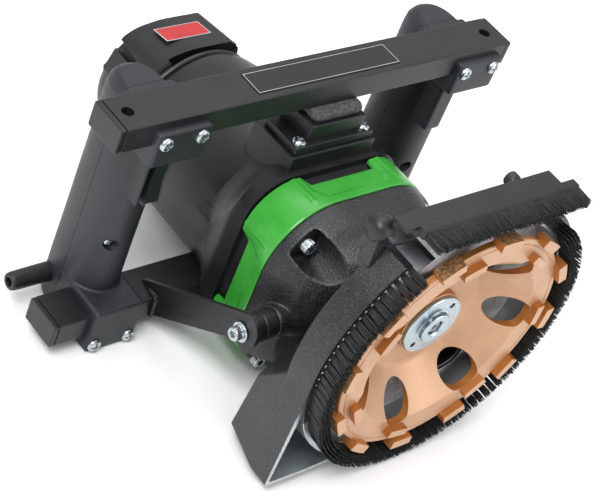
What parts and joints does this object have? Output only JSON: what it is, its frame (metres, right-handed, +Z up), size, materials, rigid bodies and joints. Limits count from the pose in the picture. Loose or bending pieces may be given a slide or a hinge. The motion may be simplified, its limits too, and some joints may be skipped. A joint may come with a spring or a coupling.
{
  "type": "concrete grinder",
  "caption": "Two-handed electric concrete grinder with a tube handle frame, offset-geared motor, dust hood with brushes and a diamond cup wheel.",
  "frame": {"origin": "under the middle of the machine, on the surface it lies on", "axes": "+Z up through the handle frame, +X to the machine's right when seen from the motor end, -Y along the spindle towards the wheel"},
  "size_m": [0.456, 0.455, 0.293],
  "materials": {
    "powder_coat": "semi-gloss black powder coat on steel",
    "plate": "satin black plate with a thin pale border, blank",
    "cap_plastic": "moulded black plastic",
    "zinc": "bright zinc plated",
    "bush_rubber": "rough dark grey rubber",
    "grip_plastic": "fine-grained dark grey moulding",
    "sleeve_rubber": "soft black rubber",
    "trigger_plastic": "smooth black moulding",
    "spring_steel": "ground steel",
    "motor_plastic": "satin black moulding",
    "motor_iron": "laminated iron and copper",
    "carbon": "pressed carbon",
    "cast_aluminium": "as-cast",
    "green_plastic": "glossy bright green moulding",
    "cast_black": "coarse textured black paint over cast aluminium",
    "bristles": "stiff black nylon bristle",
    "black_steel": "satin black painted sheet steel",
    "holder_plastic": "extruded black plastic strip",
    "wheel_paint": "satin copper-coloured paint on steel",
    "nut_zinc": "zinc plated, turned"
  },
  "bodies": {
    "machine_frame": {"arm_bolt_left": "zinc", "arm_bolt_right": "zinc", "arm_bush_left": "bush_rubber", "arm_bush_right": "bush_rubber", "arm_left": "powder_coat", "arm_right": "powder_coat", "bearing_plate": "cast_aluminium", "brush_ring": "bristles", "carbon_brush_left": "carbon", "carbon_brush_right": "carbon", "cord_sleeve": "sleeve_rubber", "damper": "bush_rubber", "dust_hood": "cast_black", "dust_port": "cast_black", "gear_housing": "cast_black", "grip_left_front": "grip_plastic", "grip_left_rear": "grip_plastic", "grip_right_front": "grip_plastic", "grip_right_rear": "grip_plastic", "housing_bolt_lower_left": "zinc", "housing_bolt_lower_right": "zinc", "housing_bolt_upper_left": "zinc", "housing_bolt_upper_right": "zinc", "lower_cap_left": "cap_plastic", "lower_cap_right": "cap_plastic", "lower_tube": "powder_coat", "motor_bearing_front": "spring_steel", "motor_bearing_rear": "spring_steel", "motor_housing": "motor_plastic", "name_plate": "plate", "pad_screw_left": "zinc", "pad_screw_right": "zinc", "rear_cap": "motor_plastic", "screw_lower_left_inner": "zinc", "screw_lower_left_outer": "zinc", "screw_lower_right_inner": "zinc", "screw_lower_right_outer": "zinc", "screw_upper_left_inner": "zinc", "screw_upper_left_outer": "zinc", "screw_upper_right_inner": "zinc", "screw_upper_right_outer": "zinc", "spindle_bearing_front": "spring_steel", "spindle_bearing_rear": "spring_steel", "stator": "motor_iron", "switch_body": "grip_plastic", "trigger_spring": "spring_steel", "upper_cap_left": "cap_plastic", "upper_cap_right": "cap_plastic", "upper_tube": "powder_coat", "vent_ring": "green_plastic"},
    "wheel_spindle": {"spindle": "spring_steel", "spindle_gear": "spring_steel", "cup_wheel": "wheel_paint", "flange_nut": "nut_zinc"},
    "motor_armature": {"armature": "motor_iron", "motor_pinion": "spring_steel"},
    "trigger_body": {"trigger": "trigger_plastic"},
    "edge_flap_body": {"edge_flap": "black_steel", "edge_brush_holder": "holder_plastic", "edge_bristles": "bristles"}
  },
  "joints": [
    {"name": "spindle_spin", "type": "hinge", "parent": "machine_frame", "child": "wheel_spindle", "pos_m": [0.012, 0, 0.146], "axis": [0, 1, 0], "continuous": true},
    {"name": "armature_spin", "type": "hinge", "parent": "machine_frame", "child": "motor_armature", "pos_m": [0.012, 0, 0.098], "axis": [0, 1, 0], "continuous": true},
    {"name": "trigger_press", "type": "slide", "parent": "machine_frame", "child": "trigger_body", "axis": [0, 1, 0], "range_m": [0, 0.006], "stiffness_N_per_m": 500, "springref_m": -0.004},
    {"name": "flap_swing", "type": "hinge", "parent": "machine_frame", "child": "edge_flap_body", "pos_m": [0.012, -0.178, 0.274], "axis": [-1, 0, 0], "range_deg": [0, 100]}
  ],
  "couplings": [
    {"joint": "armature_spin", "follows": "spindle_spin", "ratio": -3.6364}
  ]
}
